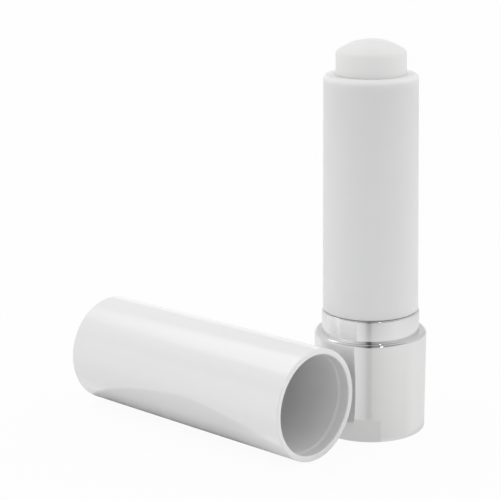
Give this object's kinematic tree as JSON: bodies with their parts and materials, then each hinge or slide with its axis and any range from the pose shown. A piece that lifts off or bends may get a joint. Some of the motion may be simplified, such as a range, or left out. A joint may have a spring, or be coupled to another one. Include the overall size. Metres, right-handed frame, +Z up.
{
  "type": "lip balm stick",
  "caption": "Twist-up lip balm stick with a bright base, a frosted sleeve and its white pull-off cap laid beside it.",
  "frame": {"origin": "centre of the stick's flat underside, on the surface it stands on", "axes": "+Z up along the stick, from its base to its balm; the cap lies along X with its mouth towards +X, on the -Y side"},
  "size_m": [0.0577, 0.0402, 0.0706],
  "materials": {
    "chromed_plastic": "polished chrome plating on moulded plastic",
    "bright_ring": "polished drawn metal ring",
    "inner_plastic": "natural moulded plastic",
    "frosted_plastic": "frosted, slightly translucent white",
    "wax": "smooth white wax",
    "gloss_white": "high gloss white"
  },
  "bodies": {
    "base": {"base_shell": "chromed_plastic", "collar": "bright_ring", "guide_tube": "inner_plastic", "cap": "gloss_white"},
    "sleeve": {"outer_sleeve": "frosted_plastic", "cam_sleeve": "inner_plastic"},
    "carrier": {"cup": "inner_plastic", "balm": "wax"}
  },
  "joints": [
    {"name": "sleeve_turn", "type": "hinge", "parent": "base", "child": "sleeve", "pos_m": [0, 0, 0.0221], "axis": [0, 0, 1], "range_deg": [-127.5, 337.5]},
    {"name": "balm_lift", "type": "slide", "parent": "base", "child": "carrier", "axis": [0, 0, 1], "range_m": [-0.0085, 0.0225]}
  ],
  "couplings": [
    {"joint": "balm_lift", "follows": "sleeve_turn", "m_per_rad": 0.0038197}
  ]
}
